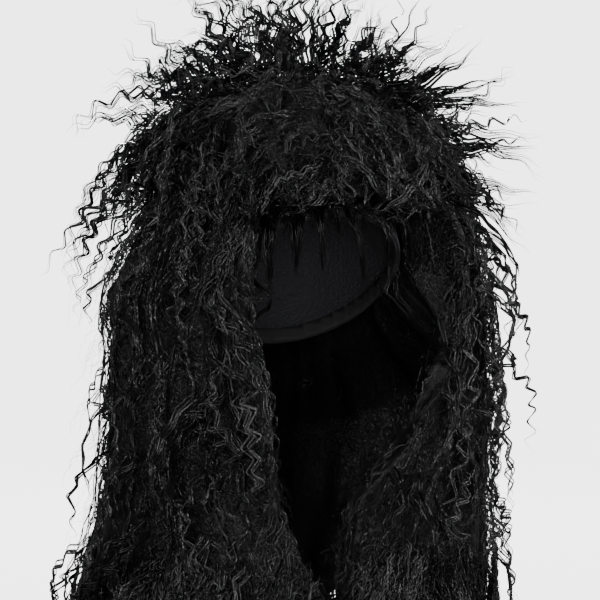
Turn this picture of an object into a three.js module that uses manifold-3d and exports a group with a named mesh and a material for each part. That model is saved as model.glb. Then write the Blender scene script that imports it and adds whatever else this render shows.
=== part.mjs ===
// A long crimped wig in the form it has when worn: a knitted cap with an elastic band round its rim,
// and hair sewn on as a teased crown, a wispy fringe, two front curtains and a back curtain.
// Millimetres. +Z is up, the front is -Y, the right curtain is on the -X side, and the origin is the
// top of the cap's hollow. A turn is an angle round the hollow's upright axis, from 0 at the front
// towards +X.
import * as THREE from "three";
import { mergeVertices } from "three/addons/utils/BufferGeometryUtils.js";
import Module from "manifold-3d";

const wasm = await Module();
wasm.setup();

// The hollow inside the cap, an ellipsoid
const headWidth = 156;
const headDepth = 196;
const headHeight = 224;

// The cap and its band
const capWall = 2;
const frontDrop = 60; // top of the hollow down to the rim at the front
const napeDrop = 165; // and down to the rim at the back
const bandHeight = 12;
const bandWall = 1.8;
const seatGap = 0.4; // between pieces that are sewn to each other

// The outer form of the hair
const maneHalfWidth = 165;
const maneFront = 125; // axis of the hollow to the front of the hair
const maneBack = 140; // axis of the hollow to the back of the hair
const crownRise = 66; // hair above the top of the hollow
const crownDrop = 44; // top of the hollow down to the crown's lower edge
const maneDrop = 411; // the crown's lower edge down to the longest ends
const maneLean = 15; // most that the mane hangs to one side

// Thickness of the layers
const crownLedge = 24; // depth of the crown's locks where they overhang the curtains
const crownTipRise = 6; // how far those locks end proud of the curtains
const crownTipDrop = 62; // how far they hang below the crown's edge
const frontTipDrop = 17; // and how far over the front opening
const layerGap = 2; // between two layers of hair
const curtainWall = 30;
const curtainRoot = 5; // thickness of a curtain where it starts on the cap
const rootDrop = 18; // top of the hollow down to where the curtains start
const flareDrop = 80; // height over which a curtain leaves the cap and reaches its own thickness
const edgeWall = 24; // thickness of a curtain at the front opening
const ridgeDepth = 7; // groove between two locks
const lockStep = 3; // how far every second lock stands proud
const crimp = 4; // sideways step of a lock from row to row
const tipDrop = 86; // length over which a curtain's locks run out
const partGap = 2.2; // between two curtains
const shoulderDrop = 300; // top of the hollow down to where the curtains start to part
const shoulderPart = 24; // width of that parting at the ends
const shortLock = 0.44; // shortest of a curtain's ends, as a share of the longest
const shortCrownLock = 0.6; // the same for the crown's locks
const edgeTurn = 20; // degrees from the front up to which a curtain is as thin as its edge
const fullTurn = 70; // and from which it has its full thickness
const tipTaper = 0.8; // power by which the ends of locks run out

// The fringe
const fringeTop = 46;
const fringeWall = 5;
const fringeDrop = 64;
const fringeRight = 40; // degrees from the front to each end of the fringe
const fringeLeft = 52;
const fringeBow = 10; // how far the wisps stand out past the cap's rim
const fringeGroove = 0.15; // grooves between wisps, as a share of those between locks
const wispTaper = 1.5;

// The spikes on the crown
const spikeReach = 100;
const spikeWidth = 7;
const spikeRoot = 14; // how deep a spike is rooted in the crown
const spikeCrimp = 5;
const spikeTip = 0.2; // thickness just before the point, as a share of spikeWidth
const spikePlain = 0.3; // share of a spike's length over which its crimp grows

// Counts
const headColumns = 28;
const headRows = 14;
const crownLocks = 30;
const crownRows = 6;
const frontLocks = 9;
const backLocks = 16;
const spikeSides = 4;
const spikeSteps = 7;
const tipSteps = 3;
const wispSteps = 4;
const tousles = 3; // waves round the crown
const plainRow = 2; // row of a curtain down to which it is smooth
const lockedRow = 4; // and row where its locks are full

const sideTurn = 95; // degrees, where a front curtain meets the back curtain
const crownEdge = -crownDrop;
const lockOuterSteps = 3; // facets across the outside of a lock
const rowTwist = 0.4; // share of a facet by which the crown's rows turn left and right by turns
const unevenStep = 2.4; // radians in a wave of lock lengths from one lock to the next
const crownUnevenStep = 2.1;
const frontTurns = [30, 55]; // degrees over which the crown's locks grow to their full length
const weldDistance = 1e-3;

// The mane's outline from the crown's edge down, as shares of the sizes above
const outline = [
  { down: 0.0, wide: 0.78, front: 0.9, back: 0.91, lean: 0.3 },
  { down: 0.1, wide: 0.92, front: 0.94, back: 0.97, lean: 0.0 },
  { down: 0.2, wide: 1.0, front: 0.97, back: 1.0, lean: -0.3 },
  { down: 0.31, wide: 0.97, front: 0.98, back: 0.99, lean: 0.0 },
  { down: 0.47, wide: 1.02, front: 1.02, back: 0.98, lean: -0.1 },
  { down: 0.61, wide: 1.03, front: 1.04, back: 0.98, lean: -0.4 },
  { down: 0.81, wide: 1.11, front: 1.04, back: 1.0, lean: -1.0 },
  { down: 1.0, wide: 1.12, front: 1.02, back: 0.98, lean: -1.0 },
];

// Where the curtains' front edges lie, in degrees from the front, down the same height
const faceOpening = [
  { down: 0.0, right: 42, left: 56 },
  { down: 0.1, right: 43, left: 60 },
  { down: 0.2, right: 47, left: 60 },
  { down: 0.3, right: 43, left: 55 },
  { down: 0.38, right: 36, left: 38 },
  { down: 0.47, right: 33, left: 22 },
  { down: 0.55, right: 31, left: 6 },
  { down: 0.61, right: 25, left: 1 },
  { down: 0.7, right: 15, left: 0.6 },
  { down: 0.78, right: 2.4, left: 0.6 },
  { down: 1.0, right: 2.4, left: 0.6 },
];

// Length of each wisp of the fringe, from -X to +X, as a share of fringeDrop
const fringeWisps = [1.0, 0.94, 0.55, 0.75, 0.72, 0.3, 0.98, 0.3, 0.7, 0.25, 0.66, 0.6];

// The spikes: where each leaves the crown (turn, rise), its heading above the horizon (lift), how far
// it bends down along its length (droop), all in degrees, and its length and width as shares
const spikes = [
  { turn: 250, rise: 86, lift: 84, droop: -10, reach: 0.72, width: 0.9 },
  { turn: 70, rise: 80, lift: 82, droop: 12, reach: 0.72, width: 1.0 },
  { turn: 70, rise: 86, lift: 48, droop: 0, reach: 0.72, width: 0.8 },
  { turn: 60, rise: 64, lift: 96, droop: 0, reach: 0.7, width: 0.6 },
  { turn: 255, rise: 72, lift: 62, droop: 60, reach: 0.72, width: 1.0 },
  { turn: 245, rise: 66, lift: 50, droop: 40, reach: 0.9, width: 0.7 },
  { turn: 252, rise: 50, lift: 38, droop: 36, reach: 0.8, width: 0.8 },
  { turn: 248, rise: 40, lift: 24, droop: 20, reach: 0.85, width: 0.5 },
  { turn: 256, rise: 34, lift: 30, droop: 60, reach: 0.7, width: 0.9 },
  { turn: 250, rise: 36, lift: -14, droop: 70, reach: 1.8, width: 1.1 },
  { turn: 258, rise: 10, lift: -30, droop: 50, reach: 1.1, width: 1.0 },
  { turn: 66, rise: 56, lift: 44, droop: -6, reach: 0.85, width: 0.5 },
  { turn: 72, rise: 50, lift: 24, droop: 30, reach: 1.05, width: 1.2 },
  { turn: 62, rise: 40, lift: 22, droop: 24, reach: 0.85, width: 0.8 },
  { turn: 74, rise: 32, lift: 14, droop: 16, reach: 1.0, width: 1.1 },
  { turn: 66, rise: 22, lift: 16, droop: 12, reach: 0.85, width: 0.7 },
  { turn: 72, rise: 12, lift: 0, droop: 14, reach: 0.72, width: 0.7 },
  { turn: 68, rise: 4, lift: -20, droop: 30, reach: 0.85, width: 1.1 },
  { turn: 96, rise: 44, lift: 34, droop: 30, reach: 0.8, width: 1.0 },
  { turn: 118, rise: 30, lift: 20, droop: 40, reach: 0.8, width: 1.0 },
  { turn: 140, rise: 52, lift: 46, droop: 40, reach: 0.8, width: 1.0 },
  { turn: 160, rise: 24, lift: 12, droop: 40, reach: 0.7, width: 1.0 },
  { turn: 182, rise: 44, lift: 36, droop: 50, reach: 0.8, width: 1.1 },
  { turn: 204, rise: 26, lift: 16, droop: 50, reach: 0.7, width: 1.0 },
  { turn: 222, rise: 48, lift: 40, droop: 40, reach: 0.8, width: 0.9 },
  { turn: 30, rise: 60, lift: 56, droop: 60, reach: 0.6, width: 0.8 },
  { turn: 330, rise: 60, lift: 58, droop: 70, reach: 0.6, width: 0.8 },
];

const radians = THREE.MathUtils.degToRad;
const smooth = (low, high, x) => THREE.MathUtils.smoothstep(x, low, high);
const mix = THREE.MathUtils.lerp;

// A length between a shortest share and 1, by a wave
const uneven = (shortest, wave) => mix(shortest, 1, (1 + Math.sin(wave)) / 2);

// A row of a table at a share of the height, between its two nearest rows
function rowAt(table, down) {
  const below = Math.max(1, table.findIndex((row) => row.down >= down));
  const last = down > table[table.length - 1].down ? table.length - 1 : below;
  const [a, b] = [table[last - 1], table[last]];
  const share = THREE.MathUtils.clamp((down - a.down) / (b.down - a.down), 0, 1);
  const row = {};
  for (const key of Object.keys(a)) row[key] = mix(a[key], b[key], share);
  return row;
}

// A closed body from points and triangles
function solid(points, triangles) {
  const geometry = new THREE.BufferGeometry();
  geometry.setAttribute("position", new THREE.Float32BufferAttribute(points.flat(), 3));
  geometry.setIndex(triangles.flat());
  return manifold(geometry);
}

function manifold(geometry) {
  const bare = geometry.clone();
  bare.deleteAttribute("normal");
  bare.deleteAttribute("uv");
  const merged = mergeVertices(bare, weldDistance);
  const vertProperties = merged.attributes.position.array;
  const triVerts = new Uint32Array(merged.index.array);
  return new wasm.Manifold(new wasm.Mesh({ numProp: 3, vertProperties, triVerts }));
}

function geometryOf(body) {
  const mesh = body.getMesh();
  const geometry = new THREE.BufferGeometry();
  geometry.setAttribute("position", new THREE.BufferAttribute(mesh.vertProperties, 3));
  geometry.setIndex(new THREE.BufferAttribute(mesh.triVerts, 1));
  geometry.computeVertexNormals();
  return geometry;
}

// The hollow's ellipsoid grown all round
function hollow(grown) {
  const geometry = new THREE.SphereGeometry(1, headColumns, headRows);
  geometry.rotateX(Math.PI / 2);
  geometry.scale(headWidth / 2 + grown, headDepth / 2 + grown, headHeight / 2 + grown);
  geometry.translate(0, 0, -headHeight / 2);
  return manifold(geometry);
}

// Radius of the grown hollow at a turn and a height
function hollowRadius(turn, z, grown) {
  const share = THREE.MathUtils.clamp((z + headHeight / 2) / (headHeight / 2 + grown), -1, 1);
  const level = Math.sqrt(Math.max(1 - share * share, 0));
  const across = Math.sin(turn) / (headWidth / 2 + grown);
  const along = Math.cos(turn) / (headDepth / 2 + grown);
  return level / Math.hypot(across, along);
}

// All that lies under the cap's slanting rim, moved up square to it
function underRim(up) {
  const front = -hollowRadius(0, -frontDrop, 0);
  const nape = hollowRadius(Math.PI, -napeDrop, 0);
  const slope = Math.atan2(frontDrop - napeDrop, nape - front);
  const size = 4 * headHeight;
  const box = new THREE.BoxGeometry(size, size, size);
  box.translate(0, 0, up - size / 2);
  box.rotateX(slope);
  box.translate(0, front, -frontDrop);
  return manifold(box);
}

function rimHeight(turn) {
  return -mix(frontDrop, napeDrop, (1 - Math.cos(turn)) / 2);
}

function cap() {
  return hollow(capWall).subtract(hollow(0)).subtract(underRim(0));
}

function band() {
  const strip = hollow(-seatGap).subtract(hollow(-seatGap - bandWall));
  return strip.subtract(underRim(seatGap)).intersect(underRim(seatGap + bandHeight));
}

// What the hair is cut by, so that it sits on the cap
const seat = hollow(capWall + seatGap);

function maneRadius(turn, z) {
  const row = rowAt(outline, (crownEdge - z) / maneDrop);
  const depth = Math.cos(turn) > 0 ? maneFront * row.front : maneBack * row.back;
  return 1 / Math.hypot(Math.sin(turn) / (maneHalfWidth * row.wide), Math.cos(turn) / depth);
}

function maneShift(z) {
  return maneLean * rowAt(outline, (crownEdge - z) / maneDrop).lean;
}

function place(turn, radius, z) {
  return [radius * Math.sin(turn) + maneShift(z), -radius * Math.cos(turn), z];
}

// Inner face of the crown's overhanging locks
function underCrown(turn, z) {
  const share = THREE.MathUtils.clamp((crownEdge - z) / crownTipDrop, 0, 1);
  return maneRadius(turn, z) - crownLedge * (1 - share) ** tipTaper + crownTipRise * share;
}

// Where the crown's underside meets the cap, and its radius from there out to the locks
const lipRadius = (turn) => hollowRadius(turn, -rootDrop, capWall) - curtainRoot;

function underDome(turn, z) {
  const share = (-rootDrop - z) / (crownDrop - rootDrop);
  return mix(lipRadius(turn), underCrown(turn, crownEdge), share);
}

// Depth of the groove at a step across a lock, and the step of every second lock
function relief(step) {
  const lock = Math.floor(step / lockOuterSteps);
  return step % lockOuterSteps === 0 ? -ridgeDepth : (lock % 2) * lockStep;
}

// Joins two rings of the same number of points with triangles
function join(triangles, upper, lower) {
  for (let i = 0; i < upper.length; i++) {
    const next = (i + 1) % upper.length;
    triangles.push([upper[i], lower[i], lower[next]], [upper[i], lower[next], upper[next]]);
  }
}

// The running out of one lock: its section shrinks along a path and ends in a point
function runOut(points, triangles, section, sectionAt, steps, apex) {
  let ring = section;
  for (let step = 1; step < steps; step++) {
    const next = section.map((_, i) => points.push(sectionAt(i, step / steps)) - 1);
    join(triangles, ring, next);
    ring = next;
  }
  const end = points.push(apex) - 1;
  ring.forEach((corner, i) => triangles.push([corner, end, ring[(i + 1) % ring.length]]));
}

// A wall of hair: rows of points from its top to where its locks part, and then each lock's end.
// form gives a height, a turn and two radii for each row, and how each lock ends.
function wallOfLocks(locks, rows, form) {
  const points = [];
  const triangles = [];
  const outerCount = locks * lockOuterSteps;
  const rings = [];
  for (let row = 0; row < rows; row++) {
    const outer = [];
    for (let step = 0; step <= outerCount; step++) {
      const turn = form.turn(row, step / outerCount);
      const radius = form.outer(row, turn) + relief(step) * form.reliefShare(row);
      outer.push(points.push(place(turn, radius, form.height(row))) - 1);
    }
    const inner = [];
    for (let lock = 0; lock <= locks; lock++) {
      const turn = form.turn(row, lock / locks);
      inner.push(points.push(place(turn, form.inner(row, turn), form.height(row))) - 1);
    }
    rings.push({ outer, inner, ring: [...outer, ...inner.toReversed()] });
  }
  for (let row = 1; row < rows; row++) join(triangles, rings[row - 1].ring, rings[row].ring);

  const sectionOf = ({ outer, inner }, lock) => {
    const first = lock * lockOuterSteps;
    return [...outer.slice(first, first + lockOuterSteps + 1), inner[lock + 1], inner[lock]];
  };
  for (let lock = 0; lock < locks; lock++) {
    const top = sectionOf(rings[0], lock);
    for (let i = 1; i < top.length - 1; i++) triangles.push([top[0], top[i], top[i + 1]]);
    const section = sectionOf(rings[rows - 1], lock);
    const corners = section.map((index) => new THREE.Vector3(...points[index]));
    const middle = corners.reduce((sum, p) => sum.add(p), new THREE.Vector3());
    middle.divideScalar(corners.length);
    const end = form.end(lock, middle);
    const sectionAt = (i, share) => {
      const centre = middle.clone().lerp(end.apex, share).add(end.bow(share));
      return corners[i].clone().sub(middle).multiplyScalar((1 - share) ** end.taper).add(centre).toArray();
    };
    runOut(points, triangles, section, sectionAt, end.steps, end.apex.toArray());
  }
  return solid(points, triangles);
}

// Heights of the rows of a curtain, from its root on the cap down
const curtainRows = [
  (crownEdge - rootDrop) / 2,
  crownEdge - layerGap,
  crownEdge - crownTipDrop * 0.5,
  crownEdge - crownTipDrop,
  ...[0.25, 0.33, 0.41, 0.49, 0.57, 0.65, 0.72, 0.79].map((share) => crownEdge - maneDrop * share),
];

// A curtain between two turns, which may differ from row to row
function curtain(locks, startTurn, endTurn) {
  const height = (row) => curtainRows[row];
  const locked = (row) => smooth(plainRow, lockedRow, row);
  const sway = (row) => ((row % 2 ? 1 : -1) * crimp * locked(row)) / maneHalfWidth;
  const outer = (row, turn) => {
    const z = height(row);
    if (row > 0) return Math.min(maneRadius(turn, z), underCrown(turn, z) - layerGap);
    return Math.min(hollowRadius(turn, z, capWall) + curtainRoot, underDome(turn, z) - 2 * layerGap);
  };
  const inner = (row, turn) => {
    const z = height(row);
    const onCap = hollowRadius(turn, z, capWall) - curtainRoot;
    const wall = mix(edgeWall, curtainWall, smooth(radians(edgeTurn), radians(fullTurn), Math.abs(turn)));
    const hanging = maneRadius(turn, z) - wall;
    return mix(onCap, hanging, smooth(0, flareDrop, rimHeight(turn) - z));
  };
  const end = (lock, middle) => {
    const apex = middle.clone();
    apex.z -= tipDrop * uneven(shortLock, unevenStep * lock + startTurn(0));
    const bow = (share) => new THREE.Vector3((crimp / 2) * Math.sin(2 * Math.PI * share), 0, 0);
    return { apex, bow, steps: tipSteps, taper: tipTaper };
  };
  const form = {
    height,
    outer,
    inner,
    end,
    turn: (row, share) => mix(startTurn(height(row)), endTurn(height(row)), share) + sway(row),
    reliefShare: locked,
  };
  return wallOfLocks(locks, curtainRows.length, form).subtract(seat);
}

// Half the parting between a front curtain and the back curtain, as an angle
function halfPart(z) {
  const opened = smooth(shoulderDrop, maneDrop - crownEdge, -z);
  return (partGap + shoulderPart * opened) / 2 / maneHalfWidth;
}

function faceEdge(z, side) {
  return radians(rowAt(faceOpening, (crownEdge - z) / maneDrop)[side]);
}

const side = radians(sideTurn);
const rightCurtain = () =>
  curtain(frontLocks, (z) => -side + halfPart(z), (z) => -faceEdge(z, "right"));
const leftCurtain = () =>
  curtain(frontLocks, (z) => faceEdge(z, "left"), (z) => side - halfPart(z));
const backCurtain = () =>
  curtain(backLocks, (z) => side + halfPart(z), (z) => 2 * Math.PI - side - halfPart(z));

// The strip of fringe sewn along the front of the cap, and its wisps
function fringe() {
  const rows = [-fringeTop, -frontDrop];
  const height = (row) => rows[row];
  const turn = (row, share) => radians(mix(-fringeRight, fringeLeft, share));
  const end = (lock, middle) => {
    const drop = fringeDrop * fringeWisps[lock];
    const out = middle.clone().setZ(0).normalize();
    const apex = middle.clone().addScaledVector(out, fringeBow * fringeWisps[lock]);
    apex.z -= drop;
    const bow = (share) => out.clone().multiplyScalar(0.5 * fringeBow * Math.sin(share * Math.PI));
    return { apex, bow, steps: wispSteps, taper: wispTaper };
  };
  const form = {
    height,
    turn,
    end,
    outer: (row, turn) => hollowRadius(turn, height(row), capWall) + fringeWall,
    inner: (row, turn) => hollowRadius(turn, height(row), capWall) - capWall,
    reliefShare: () => fringeGroove,
  };
  return wallOfLocks(fringeWisps.length, rows.length, form).subtract(seat);
}

// One spike: a crimped lock with a few sides that ends in a point
function spike(row, index) {
  const turn = radians(row.turn);
  const rise = radians(row.rise);
  const dome = crownRise + crownDrop;
  const radius = maneRadius(turn, crownEdge);
  const root = new THREE.Vector3(
    radius * Math.cos(rise) * Math.sin(turn) + maneShift(crownEdge),
    -radius * Math.cos(rise) * Math.cos(turn),
    crownEdge + dome * Math.sin(rise),
  );
  const length = spikeReach * row.reach + spikeRoot;
  const step = length / spikeSteps;
  const sideways = new THREE.Vector3(Math.cos(turn), Math.sin(turn), 0);
  const points = [];
  const triangles = [];
  let ring = null;
  const at = root.clone();
  for (let i = 0; i <= spikeSteps; i++) {
    const share = i / spikeSteps;
    const pitch = radians(row.lift - row.droop * share);
    const heading = new THREE.Vector3(
      Math.cos(pitch) * Math.sin(turn),
      -Math.cos(pitch) * Math.cos(turn),
      Math.sin(pitch),
    );
    if (i === 0) at.addScaledVector(heading, -spikeRoot);
    else at.addScaledVector(heading, step);
    const way = (i + index) % 2 ? 1 : -1;
    const swing = (spikeCrimp / 2) * row.width * way * smooth(0, spikePlain, share);
    const centre = at.clone().addScaledVector(sideways, swing);
    if (i === spikeSteps) {
      const tip = points.push(centre.toArray()) - 1;
      ring.forEach((corner, k) => triangles.push([corner, tip, ring[(k + 1) % spikeSides]]));
      break;
    }
    const upward = new THREE.Vector3().crossVectors(sideways, heading);
    const thick = (spikeWidth * row.width * mix(1, spikeTip, share)) / 2;
    const next = [];
    for (let k = 0; k < spikeSides; k++) {
      const angle = (-2 * Math.PI * k) / spikeSides;
      const corner = centre.clone();
      corner.addScaledVector(sideways, thick * Math.cos(angle));
      corner.addScaledVector(upward, thick * Math.sin(angle));
      next.push(points.push(corner.toArray()) - 1);
    }
    if (ring) join(triangles, ring, next);
    else for (let k = 1; k < spikeSides - 1; k++) triangles.push([next[0], next[k], next[k + 1]]);
    ring = next;
  }
  const body = solid(points, triangles);
  if (body.volume() > 0) return body;
  return solid(points, triangles.map(([a, b, c]) => [a, c, b]));
}

// The crown: a dome of locks over the cap, undercut where the curtains start, with its spikes
function crown() {
  const points = [];
  const triangles = [];
  const columns = crownLocks * lockOuterSteps;
  const turnOf = (share) => share * 2 * Math.PI;
  const top = points.push(place(0, 0, crownRise)) - 1;
  let ring = null;
  for (let row = 1; row <= crownRows; row++) {
    const tilt = (row / crownRows) * (Math.PI / 2);
    const height = crownEdge + (crownRise + crownDrop) * Math.cos(tilt);
    const next = [];
    for (let step = 0; step < columns; step++) {
      const turn = turnOf((step + (row % 2 ? rowTwist : -rowTwist) * smooth(1, 2, row)) / columns);
      const tousle = lockStep * Math.sin(tousles * turn + row) * Math.sin(tilt);
      const radius = maneRadius(turn, crownEdge) * Math.sin(tilt) + relief(step) * Math.sin(tilt);
      next.push(points.push(place(turn, radius + tousle, height)) - 1);
    }
    if (ring) join(triangles, ring, next);
    else next.forEach((corner, i) => triangles.push([top, corner, next[(i + 1) % columns]]));
    ring = next;
  }
  const ledge = [];
  const lip = [];
  for (let lock = 0; lock < crownLocks; lock++) {
    const turn = turnOf(lock / crownLocks);
    ledge.push(points.push(place(turn, underCrown(turn, crownEdge), crownEdge)) - 1);
    lip.push(points.push(place(turn, lipRadius(turn), -rootDrop)) - 1);
  }
  join(triangles, ledge, lip);
  const middle = points.push(place(0, 0, -rootDrop)) - 1;
  lip.forEach((corner, i) => triangles.push([corner, middle, lip[(i + 1) % crownLocks]]));

  for (let lock = 0; lock < crownLocks; lock++) {
    const first = lock * lockOuterSteps;
    const next = (lock + 1) % crownLocks;
    const outer = Array.from({ length: lockOuterSteps + 1 }, (_, k) => ring[(first + k) % columns]);
    const section = [...outer, ledge[next], ledge[lock]];
    const turn = turnOf((lock + 0.5) / crownLocks);
    const fromFront = Math.PI - Math.abs(turn - Math.PI);
    const grown = smooth(...frontTurns.map(radians), fromFront);
    const drop = mix(frontTipDrop, crownTipDrop, grown) * uneven(shortCrownLock, crownUnevenStep * lock);
    const end = crownEdge - drop;
    const polar = section.map((index) => {
      const [x, y, z] = points[index];
      const corner = Math.atan2(x - maneShift(z), -y);
      return { turn: corner, inset: maneRadius(corner, crownEdge) - Math.hypot(x - maneShift(z), y) };
    });
    const sectionAt = (i, share) => {
      const off = Math.atan2(Math.sin(polar[i].turn - turn), Math.cos(polar[i].turn - turn));
      const z = crownEdge - drop * share;
      const left = (1 - share) ** tipTaper;
      const at = turn + off * left;
      const radius = maneRadius(at, z) - polar[i].inset * left + crownTipRise * share;
      return place(at, radius, z);
    };
    const apex = place(turn, maneRadius(turn, end) + crownTipRise, end);
    runOut(points, triangles, section, sectionAt, tipSteps, apex);
  }
  let body = solid(points, triangles).subtract(seat);
  spikes.forEach((row, index) => (body = body.add(spike(row, index))));
  return body;
}

// The finishes
const hairBlack = new THREE.MeshStandardMaterial({ color: 0x121214, roughness: 0.45, metalness: 0 });
const knitBlack = new THREE.MeshStandardMaterial({ color: 0x17171a, roughness: 0.9, metalness: 0 });
const elasticBlack = new THREE.MeshStandardMaterial({ color: 0x1c1c20, roughness: 0.75, metalness: 0 });

const pieces = [
  { name: "wig_cap", body: cap(), material: knitBlack },
  { name: "cap_band", body: band(), material: elasticBlack },
  { name: "crown_hair", body: crown(), material: hairBlack },
  { name: "fringe_hair", body: fringe(), material: hairBlack },
  { name: "right_curtain", body: rightCurtain(), material: hairBlack },
  { name: "left_curtain", body: leftCurtain(), material: hairBlack },
  { name: "back_curtain", body: backCurtain(), material: hairBlack },
];

const wig = new THREE.Group();
for (const { name, body, material } of pieces) {
  const mesh = new THREE.Mesh(geometryOf(body), material);
  mesh.name = name;
  wig.add(mesh);
}

export default wig;
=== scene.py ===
import functools
import math
from types import SimpleNamespace

import bpy
import numpy as np
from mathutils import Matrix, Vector


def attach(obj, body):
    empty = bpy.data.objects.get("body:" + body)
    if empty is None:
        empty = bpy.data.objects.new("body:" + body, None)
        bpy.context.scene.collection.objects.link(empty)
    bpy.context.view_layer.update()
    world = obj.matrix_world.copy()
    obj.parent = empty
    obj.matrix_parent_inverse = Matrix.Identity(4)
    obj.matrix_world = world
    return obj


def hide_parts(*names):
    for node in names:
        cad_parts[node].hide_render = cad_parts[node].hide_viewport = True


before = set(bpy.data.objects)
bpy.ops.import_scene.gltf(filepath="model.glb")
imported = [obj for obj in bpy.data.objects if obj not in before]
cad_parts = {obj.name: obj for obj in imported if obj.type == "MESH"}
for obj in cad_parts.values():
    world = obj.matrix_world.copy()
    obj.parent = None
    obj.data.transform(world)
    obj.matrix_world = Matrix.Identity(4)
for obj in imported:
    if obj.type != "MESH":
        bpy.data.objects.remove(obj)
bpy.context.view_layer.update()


# Wig cap. A thin stretch-knit nylon cap, 2 mm thick, that all the hair is machine-sewn to.
# It shows only from inside, through the front opening and from below.
def linear(code):
    """Linear RGBA of a hex colour."""
    parts = [int(code[i : i + 2], 16) / 255 for i in (1, 3, 5)]
    return (*[c / 12.92 if c <= 0.04045 else ((c + 0.055) / 1.055) ** 2.4 for c in parts], 1.0)


def add_node(tree, kind, inputs=None, **settings):
    """A node with its settings, and its inputs set to a value or linked to a socket."""
    node = tree.nodes.new(kind)
    for name, value in settings.items():
        setattr(node, name, value)
    for name, value in (inputs or {}).items():
        if isinstance(value, bpy.types.NodeSocket):
            tree.links.new(value, node.inputs[name])
        else:
            node.inputs[name].default_value = value
    return node


def new_material(name):
    """A material with an empty node tree and its surface shader."""
    material = bpy.data.materials.new(name)
    material.use_nodes = True
    tree = material.node_tree
    shader = tree.nodes["Principled BSDF"]
    return material, tree, shader


# Half sizes of the cap's hollow, whose top is at 0: across, front to back and up. The rim slants
# from the front down to the nape.
HOLLOW = (0.078, 0.098, 0.112)
CAP_WALL = 0.002
FRONT_DROP = 0.060
NAPE_DROP = 0.165


def rim_plane():
    """A point on the cap's slanting rim and the rim's upward normal."""
    front = -HOLLOW[1] * math.sqrt(1 - (1 - FRONT_DROP / HOLLOW[2]) ** 2)
    nape = HOLLOW[1] * math.sqrt(1 - (1 - NAPE_DROP / HOLLOW[2]) ** 2)
    along = np.array([0, nape - front, FRONT_DROP - NAPE_DROP])
    normal = np.cross([1, 0, 0], along)
    return (0, front, -FRONT_DROP), tuple(normal / np.linalg.norm(normal))


def shell(name, grown, wall, segments, rings):
    """The cap's hollow, grown, as a wall that is open below the rim."""
    bpy.ops.object.select_all(action="DESELECT")
    bpy.ops.mesh.primitive_uv_sphere_add(segments=segments, ring_count=rings, radius=1)
    piece = bpy.context.object
    piece.name = name
    piece.scale = [s + grown for s in HOLLOW]
    piece.location = (0, 0, -HOLLOW[2])
    bpy.ops.object.transform_apply(location=True, rotation=True, scale=True)
    point, normal = rim_plane()
    bpy.ops.object.mode_set(mode="EDIT")
    bpy.ops.mesh.select_all(action="SELECT")
    bpy.ops.mesh.bisect(plane_co=point, plane_no=normal, clear_inner=True)
    bpy.ops.object.mode_set(mode="OBJECT")
    modifier = piece.modifiers.new("wall", "SOLIDIFY")
    modifier.thickness = wall
    modifier.offset = 1
    bpy.ops.object.shade_smooth()
    return piece


# Charcoal knitted nylon: matt, a little paler than the hair, with small loops that catch light
knit, tree, shader = new_material("charcoal_nylon_knit_matt")
shader.inputs["Base Color"].default_value = linear("#242427")
shader.inputs["Roughness"].default_value = 0.85
shader.inputs["Specular IOR Level"].default_value = 0.25
place_at = add_node(tree, "ShaderNodeTexCoord").outputs["Object"]
loops = add_node(tree, "ShaderNodeTexVoronoi", {"Vector": place_at, "Scale": 450.0})
bump = add_node(
    tree,
    "ShaderNodeBump",
    {"Height": loops.outputs["Distance"], "Strength": 1.0, "Distance": 0.0012},
)
tree.links.new(bump.outputs["Normal"], shader.inputs["Normal"])

cap = shell("knit_cap", 0.0, CAP_WALL, 72, 36)
cap.data.materials.append(knit)
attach(cap, "root")
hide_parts("wig_cap")


# Rim band. A woven elastic band, 12 mm wide, sewn round the inside of the cap's rim.
# It grips when worn and shows as a ribbed edge under the crown.
BAND_HEIGHT = 0.012
BAND_WALL = 0.0018
BAND_GAP = 0.0004

# Black woven elastic: matt, with fine upright ribs 1.2 mm apart
elastic, tree, shader = new_material("black_woven_elastic_matt")
shader.inputs["Base Color"].default_value = linear("#1d1d1f")
shader.inputs["Roughness"].default_value = 0.7
shader.inputs["Specular IOR Level"].default_value = 0.3
place_at = add_node(tree, "ShaderNodeTexCoord").outputs["Object"]
ribs = add_node(
    tree, "ShaderNodeTexWave", {"Vector": place_at, "Scale": 260.0, "Distortion": 0.5}
)
bump = add_node(
    tree,
    "ShaderNodeBump",
    {"Height": ribs.outputs["Fac"], "Strength": 0.6, "Distance": 0.0004},
)
tree.links.new(bump.outputs["Normal"], shader.inputs["Normal"])

band = shell("rim_band", -BAND_GAP - BAND_WALL, BAND_WALL, 96, 64)
point, normal = rim_plane()
top = [p + n * BAND_HEIGHT for p, n in zip(point, normal)]
bpy.ops.object.mode_set(mode="EDIT")
bpy.ops.mesh.select_all(action="SELECT")
bpy.ops.mesh.bisect(plane_co=top, plane_no=normal, clear_outer=True)
bpy.ops.object.mode_set(mode="OBJECT")
band.data.materials.append(elastic)
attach(band, "root")
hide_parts("cap_band")


# Packed hair. Crimped modacrylic fibre lies so dense under the loose locks that it reads as one
# body. Each part of the wig has one: the crown's dome and three curtains, with ridges for locks.
# The front is towards -Y, and the right curtain is on the -X side.

# The mane hangs below the crown's edge, and the dome rises above it. DOME_ARC is the way over the
# dome from its top to its edge, and CROWN_EDGE is the edge's height.
MANE_HALF_WIDTH = 0.165
MANE_FRONT = 0.125
MANE_BACK = 0.140
MANE_LEAN = 0.015
MANE_DROP = 0.411
DOME_RISE = 0.110
CROWN_EDGE = -0.044
DOME_ARC = 0.180

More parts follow.
